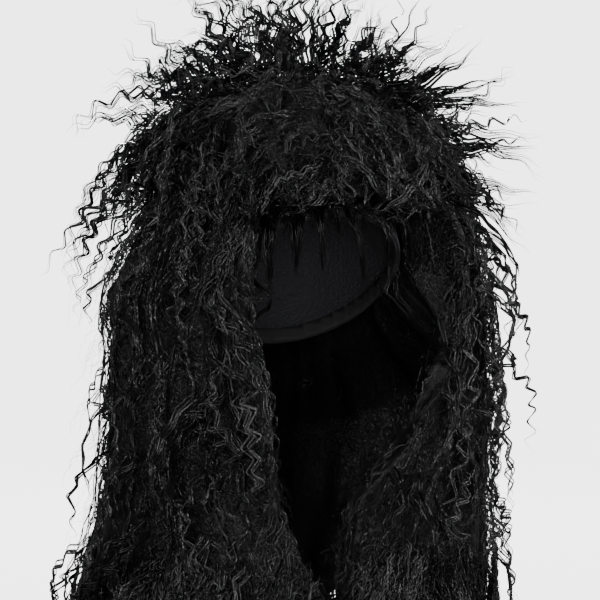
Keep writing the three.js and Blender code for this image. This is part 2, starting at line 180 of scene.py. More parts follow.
# The mane's outline below the crown, as shares: down, wide, front, back, lean
WIDE, FRONT, BACK, LEAN = 1, 2, 3, 4
OUTLINE = np.array([
    (0.00, 0.78, 0.90, 0.91, 0.3),
    (0.10, 0.92, 0.94, 0.97, 0.0),
    (0.20, 1.00, 0.97, 1.00, -0.3),
    (0.31, 0.97, 0.98, 0.99, 0.0),
    (0.47, 1.02, 1.02, 0.98, -0.1),
    (0.61, 1.03, 1.03, 0.98, -0.4),
    (0.81, 1.11, 1.03, 1.00, -1.0),
    (1.00, 1.12, 1.02, 0.98, -1.0),
])

# The front opening's edges in degrees from the front: down, right curtain's, left curtain's
RIGHT_EDGE, LEFT_EDGE = 1, 2
FRONT_EDGES = np.array([
    (0.00, 40, 54),
    (0.10, 40, 57),
    (0.20, 41, 58),
    (0.30, 39, 52),
    (0.38, 34, 37),
    (0.47, 32, 22),
    (0.55, 30, 6),
    (0.61, 25, 1),
    (0.70, 15, 0.6),
    (0.78, 2.4, 0.6),
    (1.00, 2.4, 0.6),
])

# The turn of the partings beside the back curtain. They are slits that open below PARTING_TOP.
# PARTING is half their width in radians, there and at the ends.
SIDE = math.radians(95)
PARTING_TOP = 0.256
PARTING = (0.006, 0.045)

# How thick the curtains hang, and how far under the mane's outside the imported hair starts
CURTAIN_WALL = 0.024
PACKED_SINK = 0.005


def smoothed(table, window=19):
    """A table read at every 1 % of the mane's drop, with its corners rounded."""
    shares = np.linspace(-0.1, 1.1, 121)
    fine = np.array([np.interp(shares, table[:, 0], column) for column in table.T])
    kernel = np.hanning(window) / np.hanning(window).sum()
    padded = np.pad(fine, ((0, 0), (window // 2, window // 2)), mode="edge")
    return shares, np.array([np.convolve(row, kernel, mode="valid") for row in padded])


SHARES, OUTLINE_ROWS = smoothed(OUTLINE)
SHARES, EDGE_ROWS = smoothed(FRONT_EDGES)


def outline(down, column):
    """A column of the outline at a distance below the crown's edge."""
    return np.interp(np.maximum(down, 0) / MANE_DROP, SHARES, OUTLINE_ROWS[column])


def front_edge(down, column):
    """The turn of a curtain's front edge at a distance below the crown's edge."""
    return np.radians(np.interp(np.maximum(down, 0) / MANE_DROP, SHARES, EDGE_ROWS[column]))


def tilt_at(down):
    """Angle of the outside's normal from upright: 0 at the dome's top, a right angle below it."""
    return np.clip(math.pi / 2 * (1 + down / DOME_ARC), 0, math.pi / 2)


def mane_radius(turn, down):
    """Distance of the wig's outside from its upright axis."""
    depth = np.where(
        np.cos(turn) > 0, MANE_FRONT * outline(down, FRONT), MANE_BACK * outline(down, BACK)
    )
    wide = MANE_HALF_WIDTH * outline(down, WIDE)
    return np.sin(tilt_at(down)) / np.hypot(np.sin(turn) / wide, np.cos(turn) / depth)


@functools.cache
def noise_table(seed):
    """The noise's values at the corners of its cells."""
    return np.random.default_rng(seed).uniform(-1, 1, (64, 64))


def value_noise(seed, x, y):
    """Smooth noise from -1 to 1 on a plane of unit cells, the same on every run."""
    table = noise_table(seed)
    i, j = np.floor(x).astype(int), np.floor(y).astype(int)
    a, b = x - i, y - j
    a, b = a * a * (3 - 2 * a), b * b * (3 - 2 * b)
    low = table[i % 64, j % 64] * (1 - a) + table[(i + 1) % 64, j % 64] * a
    high = table[i % 64, (j + 1) % 64] * (1 - a) + table[(i + 1) % 64, (j + 1) % 64] * a
    return low * (1 - b) + high * b


def swell(point, out):
    """How far the outside stands out in soft lumps, 35 mm across, as heavy locks push it. They
    fade out over the 20 mm under it."""
    x, y, z = np.moveaxis(point, -1, 0)
    lumps = value_noise(71, x / 0.035 + 30, z / 0.050 + 30)
    lumps = lumps + value_noise(72, y / 0.035 + 30, z / 0.050 + 9)
    return 0.0035 * lumps * np.clip(1 + out / 0.020, 0, 1)


def settle(turn, down, out):
    """Points and normals on the wig's outside. turn is the angle round its axis from the front
    towards +X, down runs from the crown's edge, below 0 on the dome, and out stands off it."""
    turn, down, out = np.broadcast_arrays(turn, down, out)
    tilt, radius = tilt_at(down), mane_radius(turn, down)
    normal = np.stack(
        [np.sin(tilt) * np.sin(turn), -np.sin(tilt) * np.cos(turn), np.cos(tilt)], -1
    )
    point = np.stack(
        [
            radius * np.sin(turn) + MANE_LEAN * outline(down, LEAN),
            -radius * np.cos(turn),
            CROWN_EDGE + DOME_RISE * np.cos(tilt) - np.maximum(down, 0),
        ],
        -1,
    )
    return point + normal * (out + swell(point, out))[..., None], normal


def mesh_object(name, points, faces, uvs, tones):
    """An object from arrays: points, faces of equal length, a UV and a tone for each point."""
    mesh = bpy.data.meshes.new(name)
    faces = np.asarray(faces)
    count, corners = faces.shape
    mesh.vertices.add(len(points))
    mesh.vertices.foreach_set("co", np.asarray(points, dtype=np.float32).ravel())
    mesh.loops.add(count * corners)
    mesh.loops.foreach_set("vertex_index", faces.astype(np.int32).ravel())
    mesh.polygons.add(count)
    mesh.polygons.foreach_set("loop_start", np.arange(0, count * corners, corners, dtype=np.int32))
    mesh.update(calc_edges=True)
    mesh.validate()
    layer = mesh.uv_layers.new(name="fibre")
    layer.uv.foreach_set("vector", np.asarray(uvs, dtype=np.float32)[faces.ravel()].ravel())
    layer = mesh.attributes.new("tone", "FLOAT", "POINT")
    layer.data.foreach_set("value", np.asarray(tones, dtype=np.float32))
    piece = bpy.data.objects.new(name, mesh)
    bpy.context.collection.objects.link(piece)
    bpy.ops.object.select_all(action="DESELECT")
    piece.select_set(True)
    bpy.context.view_layer.objects.active = piece
    bpy.ops.object.mode_set(mode="EDIT")
    bpy.ops.mesh.select_all(action="SELECT")
    bpy.ops.mesh.normals_make_consistent(inside=False)
    bpy.ops.object.mode_set(mode="OBJECT")
    bpy.ops.object.shade_smooth()
    return piece


def hair_material(name, dark, light, gloss):
    """Black modacrylic fibre, with its colour and roughness set by the tone of each lock."""
    material, tree, shader = new_material(name)
    tone = add_node(tree, "ShaderNodeAttribute", attribute_name="tone").outputs["Fac"]
    colour = add_node(tree, "ShaderNodeMix", {"Factor": tone}, data_type="RGBA")
    colour.inputs[6].default_value = linear(dark)
    colour.inputs[7].default_value = linear(light)
    rough = add_node(tree, "ShaderNodeMapRange", {"Value": tone, "To Min": 0.26, "To Max": 0.4})
    tree.links.new(colour.outputs[2], shader.inputs["Base Color"])
    tree.links.new(rough.outputs["Result"], shader.inputs["Roughness"])
    shine = add_node(
        tree, "ShaderNodeMapRange", {"Value": tone, "To Min": 0.3 * gloss, "To Max": 1.6 * gloss}
    )
    tree.links.new(shine.outputs["Result"], shader.inputs["Specular IOR Level"])
    return material, tree, shader


# Packed crimped fibre: black, and less glossy than the loose locks. Its colour is darker than
# theirs as painted shade deep in the gaps between the strands.
# It has short glints that lean both ways as the crimps do. The glints are 1 mm across and 5 mm
# long, at 35 degrees to the fall of the hair.
packed_hair_painted_shade, tree, shader = hair_material(
    "black_modacrylic_packed_painted_shade", "#010101", "#030303", 0.09
)
uv = add_node(tree, "ShaderNodeUVMap", uv_map="fibre").outputs["UV"]
heights = []
for lean in (35, -35):
    turned = add_node(
        tree, "ShaderNodeMapping", {"Vector": uv, "Rotation": (0, 0, math.radians(lean))}
    )
    sized = add_node(
        tree, "ShaderNodeMapping", {"Vector": turned.outputs["Vector"], "Scale": (900, 200, 1)}
    )
    fibres = add_node(
        tree,
        "ShaderNodeTexNoise",
        {"Vector": sized.outputs["Vector"], "Scale": 1.0, "Detail": 1.0, "Distortion": 0.6},
    )
    heights.append(fibres.outputs["Fac"])
higher = add_node(tree, "ShaderNodeMath", {0: heights[0], 1: heights[1]}, operation="MAXIMUM")
bump = add_node(
    tree,
    "ShaderNodeBump",
    {"Height": higher.outputs["Value"], "Strength": 1.0, "Distance": 0.003},
)
tree.links.new(bump.outputs["Normal"], shader.inputs["Normal"])


def closed_grid(rows, columns):
    """Quads of a tube of points, rows by columns, whose columns close on themselves."""
    i = np.arange(rows - 1)[:, None] * columns
    j = np.arange(columns)[None, :]
    k = (j + 1) % columns
    quads = np.stack([i + j, i + columns + j, i + columns + k, i + k], -1)
    return quads.reshape(-1, 4)


def end_quads(base, around):
    """Quads that close one end of a flattened tube, between its two long sides."""
    j = np.arange(around // 2 - 1)
    return np.stack([base + j, base + j + 1, base + around - 2 - j, base + around - 1 - j], -1)


def closed_tube(rows, around):
    """Quads of a flattened tube of points that is closed at both ends."""
    ends = end_quads(0, around), end_quads((rows - 1) * around, around)
    return np.concatenate([closed_grid(rows, around), *ends])


def packed_relief(seed, across, down):
    """How far packed hair stands out: uneven locks and a ragged surface."""
    locks = value_noise(seed, across / 0.012 + 40, down / 0.05 + 20) * 0.0030
    tufts = value_noise(seed + 1, across / 0.005 + 40, down / 0.012 + 20) * 0.0018
    ragged = value_noise(seed + 2, across / 0.0028 + 90, down / 0.006 + 30) * 0.0010
    return locks + tufts + ragged


def curtain_turns(side, share, down):
    """The turn of a line of hair at a share of a curtain's width."""
    parting = np.interp(down, (PARTING_TOP, MANE_DROP), PARTING)
    if side == "right":
        start, end = -SIDE + parting, -front_edge(down, RIGHT_EDGE)
    elif side == "left":
        start, end = front_edge(down, LEFT_EDGE), SIDE - parting
    else:
        start, end = SIDE + parting, 2 * math.pi - SIDE - parting
    return start + (end - start) * share


def cap_radius(turn, z):
    """Radius of the cap's outside at a turn and a height, 0 below it."""
    level = np.sqrt(np.clip(1 - ((z + HOLLOW[2]) / (HOLLOW[2] + CAP_WALL)) ** 2, 0, 1))
    across = np.sin(turn) / (HOLLOW[0] + CAP_WALL)
    return level / np.hypot(across, np.cos(turn) / (HOLLOW[1] + CAP_WALL))


def wall_depth(turn, down, least=CURTAIN_WALL):
    """Thickness of the hair from its outside in to the cap. Over the 80 mm below the rim it
    becomes the thickness of a hanging wall, least."""
    z = CROWN_EDGE + DOME_RISE * np.cos(tilt_at(down)) - np.maximum(down, 0)
    to_cap = mane_radius(turn, down) - cap_radius(turn, z) - 0.002
    rim = -(FRONT_DROP + (NAPE_DROP - FRONT_DROP) * (1 - np.cos(turn)) / 2)
    free = np.clip((rim - z) / 0.080, 0, 1)
    return to_cap + (least - to_cap) * free * free * (3 - 2 * free)


def packed_curtain(side, seed, columns):
    """One curtain's packed hair: from near its outside in to the cap or, lower down, a wall of
    hair about 20 mm thick with ragged lower ends. Its cross-section is a flat tube of points:
    share is the place across the curtain, and depth is 0 outside and 1 inside."""
    rows, corner = 76, 7
    down = np.linspace(-0.020, MANE_DROP - 0.035, rows)[:, None]
    flat = columns - 2 * corner
    share = np.concatenate([np.zeros(corner), np.linspace(0, 1, flat), np.ones(corner)])
    depth = np.concatenate([
        np.linspace(0.44, 0.06, corner), np.zeros(flat), np.linspace(0.06, 0.44, corner)
    ])
    share = np.concatenate([share, share[::-1]])[None, :]
    depth = np.concatenate([depth, 1 - depth[::-1]])[None, :]
    width = 0.14 * abs(curtain_turns(side, 1, 0.2) - curtain_turns(side, 0, 0.2))
    low = 0.350 + 0.014 * value_noise(seed + 5, share * width / 0.011 + 50, 0 * share)
    low = low + 0.014 * value_noise(seed + 6, share * width / 0.005 + 50, 0 * share)
    down = np.where(down > 0.25, 0.25 + (down - 0.25) * (low - 0.25) / (down.max() - 0.25), down)
    fade = np.clip((low - down) / 0.035, 0.02, 1)
    torn = value_noise(seed + 7, down / 0.017 + 20, 9 * np.round(share)) * (2 * share - 1) ** 9
    turn = curtain_turns(side, 0.02 + 0.96 * share, down) + 0.004 * torn / 0.15
    waves = np.sin(2 * math.pi * down / 0.021 + 4 * value_noise(seed + 8, share * 9, down / 0.1))
    middle = 1 - abs(2 * share - 1) ** 9
    turn = turn + 0.020 * waves * np.clip((down - 0.27) / 0.06, 0, 1) * middle
    wall = wall_depth(turn, down) - PACKED_SINK
    across = share * width + depth * 0.05
    relief = packed_relief(seed, across, down) * (1 - 2 * depth) * np.where(depth > 0.5, 0.25, 1)
    out = -PACKED_SINK - wall * (0.5 + (depth - 0.5) * fade) + relief * fade
    points, _ = settle(turn, down, out)
    uvs = np.stack(np.broadcast_arrays(across, down + 0 * turn), -1).reshape(-1, 2)
    tones = 0.5 + 0.5 * value_noise(seed + 3, uvs[:, 0] / 0.012, uvs[:, 1] / 0.08 + 9)
    faces = closed_tube(rows, 2 * columns)
    piece = mesh_object(side + "_packed", points.reshape(-1, 3), faces, uvs, tones)
    piece.data.materials.append(packed_hair_painted_shade)
    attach(piece, "root")
    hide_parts(side + "_curtain")


packed_curtain("right", 11, 72)
packed_curtain("left", 21, 72)
packed_curtain("back", 31, 140)


def packed_crown():
    """The crown's packed hair: a dome that closes on the cap under its overhanging edge."""
    rows, inner_rows, columns = 56, 14, 180
    down = np.linspace(-DOME_ARC * 0.995, 0.014, rows)[:, None]
    turn = np.linspace(0, 2 * math.pi, columns, endpoint=False)[None, :]
    swirl = turn + 0.25 * value_noise(44, 3 * np.sin(turn) + 20, down / 0.05 + 20)
    fade = np.clip((down + DOME_ARC) / 0.05, 0, 1)
    front = np.clip((np.cos(turn) - 0.55) / 0.2, 0, 1)
    limit = down * (1 - front) + np.minimum(down, 0.002) * front
    tuck = np.clip((down + 0.040) / 0.054, 0, 1) ** 2
    out = -0.009 - 0.007 * tuck + packed_relief(41, 0.12 * swirl, limit) * fade
    outer, _ = settle(turn, limit, out)
    inner_down = np.linspace(0.008, -DOME_ARC * 0.9, inner_rows)[:, None]
    held = np.minimum(inner_down, 0.05 * inner_down - 0.0084)
    inner_limit = inner_down * (1 - front) + held * front
    inner, _ = settle(turn, inner_limit, -0.028)
    points = np.concatenate([outer.reshape(-1, 3), inner.reshape(-1, 3)])
    ways = np.concatenate([down, inner_down]) + 0 * turn
    arounds = np.concatenate([0.12 * swirl, 0.12 * turn + 0 * inner_down])
    uvs = np.stack([arounds, ways], -1).reshape(-1, 2)
    tones = 0.5 + 0.5 * value_noise(43, uvs[:, 0] / 0.01 + 30, uvs[:, 1] / 0.05 + 30)
    faces = closed_tube(rows + inner_rows, columns)
    piece = mesh_object("crown_packed", points, faces, uvs, tones)
    piece.data.materials.append(packed_hair_painted_shade)
    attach(piece, "root")
    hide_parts("crown_hair")


packed_crown()


# Hanging locks. Each is a bundle of crimped fibre, 1 to 3 mm wide, that hangs with others in
# step and ends with them in a point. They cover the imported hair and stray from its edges.

# Loose crimped fibre: black with a satin sheen, and fine hairs 0.7 mm apart along each lock
loose_hair, tree, shader = hair_material(
    "black_modacrylic_crimped_locks", "#010102", "#050506", 0.21
)
uv = add_node(tree, "ShaderNodeUVMap", uv_map="fibre").outputs["UV"]
sized = add_node(tree, "ShaderNodeMapping", {"Vector": uv, "Scale": (1400, 320, 1)})
hairs = add_node(
    tree, "ShaderNodeTexNoise", {"Vector": sized.outputs["Vector"], "Scale": 1.0, "Detail": 1.0}
)
bump = add_node(
    tree,
    "ShaderNodeBump",
    {"Height": hairs.outputs["Fac"], "Strength": 1.0, "Distance": 0.0011},
)
tree.links.new(bump.outputs["Normal"], shader.inputs["Normal"])


def square_to(along, facing):
    """Unit vectors to the side of a path, square to it and to the way that it faces."""
    side = np.cross(along, facing)
    return side / (np.linalg.norm(side, axis=1, keepdims=True) + 1e-12)


class Strands:
    """Collects tapered, closed strands with three sides into one mesh."""

    def __init__(self):
        self.points, self.quads, self.ends, self.uvs, self.tones = [], [], [], [], []
        self.count = 0

    def add(self, path, facing, width, depth, tone):
        """A strand along a path of points. facing is the way its flat side looks, width and
        depth are half sizes at each point, and tone is its shade."""
        steps = len(path)
        tangent = np.gradient(path, axis=0)
        tangent /= np.linalg.norm(tangent, axis=1, keepdims=True) + 1e-12
        side = square_to(tangent, facing)
        up = np.cross(side, tangent)
        ring = []
        for angle in (math.pi / 2, math.pi * 7 / 6, math.pi * 11 / 6):
            across, outward = width * math.cos(angle), depth * math.sin(angle)
            ring.append(path + side * across[:, None] + up * outward[:, None])
        self.points.append(np.stack(ring, 1).reshape(-1, 3))
        self.quads.append(closed_grid(steps, 3) + self.count)
        last = self.count + 3 * (steps - 1)
        self.ends.append(np.array([
            (self.count, self.count + 1, self.count + 2),
            (last + 2, last + 1, last),
        ]))
        length = np.concatenate([[0], np.cumsum(np.linalg.norm(np.diff(path, axis=0), axis=1))])
        shift = 0.37 * self.count % 1.0
        across = np.array([0.5, 0.0, 1.0]) * 2 * width.max()
        uv = np.stack([np.tile(across, steps) + shift, np.repeat(length, 3) + shift], 1)
        self.uvs.append(uv)
        self.tones.append(np.full(3 * steps, np.clip(tone, 0, 1)))
        self.count += 3 * steps

    def build(self, name, fibre=loose_hair):
        """The strands so far as one piece."""
        quads = np.concatenate(self.quads)
        halves = [quads[:, [0, 1, 2]], quads[:, [0, 2, 3]]]
        piece = mesh_object(
            name,
            np.concatenate(self.points),
            np.concatenate([*halves, *self.ends]),
            np.concatenate(self.uvs),
            np.concatenate(self.tones),
        )
        piece.data.materials.append(fibre)
        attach(piece, "root")
        return piece


def taper(share, width, root=0.04, tip=0.35):
    """Half width along a strand: full in the middle, and thin at its root and towards its tip."""
    opened = np.clip(share / root, 0.35, 1)
    closed = np.clip((1 - share) / tip, 0.0, 1) ** 0.7
    return width * opened * np.maximum(closed, 0.08)


# How unevenly the bends of a lock follow each other
EVEN, UNEVEN = 0.16, 0.34

# How far each corner of a bend stands from its middle, as a share of the way to the next bend
CORNERS = {1: (0.0,), 2: (-0.16, 0.16), 3: (-0.15, 0.0, 0.15), 4: (-0.2, -0.07, 0.07, 0.2)}

# Kinds of strand: the least and greatest half width, and the corners of each bend
FRIZZ = (0.0002, 0.00045, 1)
COARSE = (0.0003, 0.0006, 1)
BODY = (0.00045, 0.0009, 2)
STRAYS = (0.0006, 0.0011, 3)
TIPS = (0.0005, 0.0011, 1)

# How far from the wig's axis loose locks may reach: to the front, to the back and aside
AHEAD, BEHIND, BESIDE = 0.137, 0.180, 0.192


def crimps(rng, length, wave, steep, loose=UNEVEN):
    """The bends of a crimped lock: where each is along it, as a share, and how far it stands
    to the side, left and right by turns."""
    count = max(3, round(2 * length / wave))
    at = (np.arange(count) + 0.5 + rng.uniform(-loose, loose, count)) / count
    swing = wave / 4 * steep * np.where(np.arange(count) % 2, 1, -1)
    return at, swing * rng.uniform(0.8 - 1.5 * loose, 0.8 + 1.5 * loose, count)


def crimped(path_at, at, swing, shift, lean, corners=2, reach=1.0):
    """The points of one strand, with one to four to each bend. path_at gives points and normals
    at shares of the lock, shift moves the bends, lean turns them from sideways to outwards, and
    reach is the share of the lock's length that the strand has."""
    inside = at < reach
    at, swing = at[inside] / reach, swing[inside]
    around = np.array(CORNERS[corners])
    t = np.add.outer(at + shift, around / len(at)).ravel()
    t = np.concatenate([[0.0], np.sort(np.clip(t, 0.001, 0.999)), [1.0]])
    swings = np.outer(swing, np.cos(math.pi * around)).ravel()
    offset = np.concatenate([[0.3 * swing[0]], swings, [0.3 * swing[-1]]])
    path, facing = path_at(t * reach)
    side = square_to(np.gradient(path, axis=0), facing)
    sideways, outwards = offset * math.cos(lean), offset * math.sin(lean)
    moved = side * sideways[:, None] + facing * outwards[:, None]
    return path + moved, facing, t


def wrapped(side, turn, down, out, slack):
    """Leads hair that would pass a curtain's edge round it, into the thickness of the wall.
    slack is how far past the edge it turns."""
    radius = mane_radius(turn, down)
    start = curtain_turns(side, 0, down) - slack / radius
    end = curtain_turns(side, 1, down) + slack / radius
    past = np.maximum(np.maximum(start - turn, turn - end), 0) * radius
    turn = np.clip(turn, start, end)
    near = np.clip(np.minimum(turn - start, end - turn) * radius / 0.012, 0, 1)
    return turn, out - 0.010 * (1 - near) ** 2 - np.minimum(past, 0.022)


def within(turn, down, out):
    """Keeps strays inside the wig's full size."""
    ahead = np.where(np.cos(turn) > 0, AHEAD, BEHIND) / np.maximum(abs(np.cos(turn)), 0.01)
    beside = BESIDE / np.maximum(abs(np.sin(turn)), 0.01)
    return np.minimum(out, np.minimum(ahead, beside) - mane_radius(turn, down))


def lay_lock(bundle, rng, lie, turn, lock):
    """Strands side by side along the wig's outside. The lock's heading is 0 straight down and grows
    towards +X, curling with a random bend, and lie(t, turn, down) puts each point in its place."""
    steps = 21
    walk = np.linspace(0, 1, steps)
    bend = lock.heading + rng.normal(0, 0.5) * np.sin(math.pi * walk * rng.uniform(0.6, 2.0))
    downs = lock.start + np.cumsum(np.cos(bend)) * lock.length / steps
    around = np.sin(bend) / np.maximum(mane_radius(turn, downs), 0.02)
    turns = turn + np.cumsum(around) * lock.length / steps
    thin, thick, corners = lock.size
    loose = EVEN if corners == 3 else UNEVEN
    at, swing = crimps(rng, lock.length, lock.wave, lock.steep, loose)
    tone = rng.uniform(0, 1)
    lean = rng.normal(0, 0.7)
    for _ in range(lock.count):
        beside = rng.uniform(-1, 1) * lock.spread
        lower = rng.uniform(-1, 1) * lock.spread
        reach = rng.uniform(0.75, 1.0)

        def path_at(t):
            pull = 1 - 0.9 * t**1.6
            down = np.interp(t, walk, downs) + lower * pull
            turn = np.interp(t, walk, turns)
            turn = turn + beside * pull / np.maximum(mane_radius(turn, down), 0.03)
            turn, down, out = lie(t, turn, down)
            return settle(turn, down, within(turn, down, out))

        shift = rng.normal(0, 0.08) / len(at)
        swings = swing * rng.uniform(0.85, 1.15)
        path, facing, t = crimped(path_at, at, swings, shift, lean, corners, reach)
        lean += rng.normal(0, 0.15)
        w = taper(t, rng.uniform(thin, thick))
        bundle.add(path, facing, w, w * 0.65, tone + rng.uniform(-0.3, 0.3))


def frizz_lock(rng, side):
    """Short frizz on a curtain's outside. deep and lift are how far it stands off at its root and
    more in its middle, flare keeps that to its end, slack is how far it passes the edge, and cut
    and inner put it on the edge or the inner side of the wall."""
    return {
        "deep": rng.uniform(-0.006, 0.003),
        "lift": rng.uniform(0, 0.005),
        "start": rng.uniform(-0.02, 0.395),
        "share": rng.uniform(-0.03, 1.03),
        "heading": rng.normal(0, 0.8),
        "length": rng.uniform(0.025, 0.065),
        "wave": rng.uniform(0.010, 0.020),
        "steep": rng.uniform(0.5, 0.9),
        "slack": rng.uniform(-0.006, 0.005),
        "count": rng.integers(2, 5),
        "size": COARSE if side == "back" else FRIZZ,
        "spread": 0.004,
        "flare": 0.0,
        "cut": 0.0,
        "inner": False,
    }


def long_lock(rng, side):
    """Hangs down the curtain's whole height in slow bends."""
    start = rng.uniform(-0.07, 0.05)
    heading, length = rng.normal(0, 0.06), rng.uniform(0.34, 0.40) - start
    wave = rng.uniform(0.020, 0.030)
    return {"start": start, "heading": heading, "length": length, "wave": wave, "size": BODY}


def tip_bundle(rng, side):
    """Many strands that draw together in a point at the curtain's lower end."""
    return {
        "start": rng.uniform(0.26, 0.34),
        "share": rng.uniform(-0.01, 1.01),
        "heading": rng.normal(0, 0.15),
        "length": rng.uniform(0.08, 0.15),
        "count": rng.integers(7, 12),
        "slack": rng.uniform(0.0, 0.008),
        "size": TIPS,
        "spread": 0.010,
    }


def stray_lock(rng, side):
    """Stands off the outside, often with its end free. At the back it strays near the edges."""
    lock = {
        "start": rng.uniform(-0.03, 0.31),
        "heading": rng.normal(0, 0.25),
        "length": rng.uniform(0.05, 0.13),
        "wave": rng.uniform(0.015, 0.023),
        "steep": rng.uniform(0.7, 1.1),
        "lift": rng.uniform(0.006, 0.032),
        "flare": rng.random(),
        "count": rng.integers(3, 6),
        "size": STRAYS,
    }
    if side == "back":
        lock["share"] = rng.beta(0.5, 0.5)
    return lock


def edge_lock(rng, side):
    """Turns round an edge of the curtain, more often the one at the front opening."""
    edge = 1 if rng.random() < {"right": 0.75, "left": 0.25}.get(side, 0.5) else -1
    share = 0.5 + edge * (0.5 - abs(rng.normal(0, 0.05)))
    heading, slack = rng.uniform(0.0, 0.9) * edge, rng.uniform(-0.004, 0.009)
    return {"share": share, "heading": heading, "slack": slack}


def cut_lock(rng, side):
    """Covers the thickness of the wall at the curtain's edge."""
    cut, either = rng.uniform(0.05, 1.0), rng.choice((-1, 1))
    edge = {"right": 1, "left": -1}.get(side, either)
    heading, slack = edge * rng.uniform(0, 0.3), rng.uniform(0.000, 0.005)
    return {
        "cut": cut,
        "share": 0.5 + 0.5 * edge,
        "heading": heading,
        "lift": 0.0,
        "slack": slack,
        "start": rng.uniform(-0.01, 0.39),
    }


def inner_lock(rng, side):
    """Lies on the inner side of the wall, below the cap's rim."""
    highest = 0.100 if side == "back" else 0.02
    return {"inner": True, "start": highest + rng.uniform(0, 0.26)}


# Each curtain's share of every kind of lock. The rest is short frizz.
KINDS = (long_lock, tip_bundle, stray_lock, edge_lock, cut_lock, inner_lock)
MIX = {
    "right": (0.045, 0.105, 0.10, 0.12, 0.06, 0.04),
    "left": (0.045, 0.105, 0.10, 0.12, 0.16, 0.06),
    "back": (0.080, 0.120, 0.05, 0.12, 0.04, 0.07),
}

# How far down the locks run, and how deep under the outside those of the inner side lie
LAST_TIP = 0.410
LOWEST_POINT = 0.412
INNER_WALL = 0.026


def curtain_place(side, lock, slope):
    """The function that puts a lock's points on a curtain. slope tilts those on a cut edge."""

    def lie(t, turn, down):
        way = math.pi * t ** (0.8 - 0.35 * lock.flare) / (1 + lock.flare)
        out = lock.deep + lock.lift * np.sin(way)
        if lock.inner:
            out = -wall_depth(turn, down, INNER_WALL) + 0.004 * np.sin(9 * t)
        turn, out = wrapped(side, turn, down, out, lock.slack)
        if lock.cut:
            out = -wall_depth(turn, down) * (lock.cut + slope * (t - 0.5))
        return turn, np.minimum(down, LOWEST_POINT), out

    return lie


def hanging_locks(side, seed, triangles):
    """A curtain's locks, up to a number of triangles."""
    rng = np.random.default_rng(seed)
    bundle = Strands()
    while 2 * bundle.count < triangles:
        kind = np.searchsorted(np.cumsum(MIX[side]), rng.random(), side="right")
        values = frizz_lock(rng, side)
        if kind < len(KINDS):
            values.update(KINDS[kind](rng, side))
        lock = SimpleNamespace(**values)
        lock.length = min(lock.length, LAST_TIP - lock.start)
        lie = curtain_place(side, lock, rng.uniform(-0.3, 0.3))
        lay_lock(bundle, rng, lie, curtain_turns(side, lock.share, lock.start), lock)
    bundle.build(side + "_locks")


hanging_locks("right", 111, 153000)
hanging_locks("left", 121, 156000)
hanging_locks("back", 131, 134000)


# Crown locks. Shorter crimped locks are sewn all over the cap and teased, so they leave it in
# every direction, bend over and hide the curtains' tops.
def crown_place(deep, lift, limit):
    """The function that puts a lock's points on the crown. Over the front opening it ends at the
    limit, and what would hang lower is tucked in."""

    def lie(t, turn, down):
        out = deep + lift * np.sin(math.pi * t * 0.8)
        away = np.remainder(turn + math.pi, 2 * math.pi) - math.pi
        open_right = np.clip((away + front_edge(down, RIGHT_EDGE)) / 0.1 + 0.5, 0, 1)
        open_left = np.clip((front_edge(down, LEFT_EDGE) - away) / 0.1 + 0.5, 0, 1)
        past = np.maximum(down - limit, 0) * open_right * open_left
        return turn, down - past, out - np.minimum(past, 0.016)

    return lie


def crown_locks(name, seed, first, last, triangles):
    """The crown's locks between two turns: short frizz, 40 % broader locks, and 30 % that stand
    higher off the crown."""
    rng = np.random.default_rng(seed)
    bundle = Strands()
    while 2 * bundle.count < triangles:
        tilt = math.acos(1 - rng.uniform(0.01, 1.0))
        turn = math.radians(rng.uniform(first, last))
        lock = SimpleNamespace(
            start=DOME_ARC * (tilt / (math.pi / 2) - 1),
            heading=np.clip(rng.normal(0, 0.8), -1.3, 1.3),
            length=rng.uniform(0.030, 0.090),
            wave=rng.uniform(0.011, 0.022),
            steep=rng.uniform(0.5, 0.95),
            size=FRIZZ,
            spread=0.004,
        )
        deep, lift = rng.uniform(-0.010, 0.000), rng.uniform(0, 0.008)
        lock.count = rng.integers(2, 5)
        if rng.random() < 0.4:
            lock.size, lock.count = BODY, rng.integers(3, 7)
            lock.heading, lock.length = rng.normal(0, 0.5), rng.uniform(0.050, 0.110)
        if rng.random() < 0.3:
            lift = rng.uniform(0.008, 0.024)
        lie = crown_place(deep, lift, rng.uniform(0.000, 0.022))
        lay_lock(bundle, rng, lie, turn, lock)
    bundle.build(name)


crown_locks("crown_front_locks", 211, -105, 105, 148000)
crown_locks("crown_back_locks", 212, 100, 260, 74000)


# Spikes. Teased locks set with spray to stand out from the crown: crimped and looped on the top
# and right, and nearly straight on the left. Each is a few strands in step that end in a point.

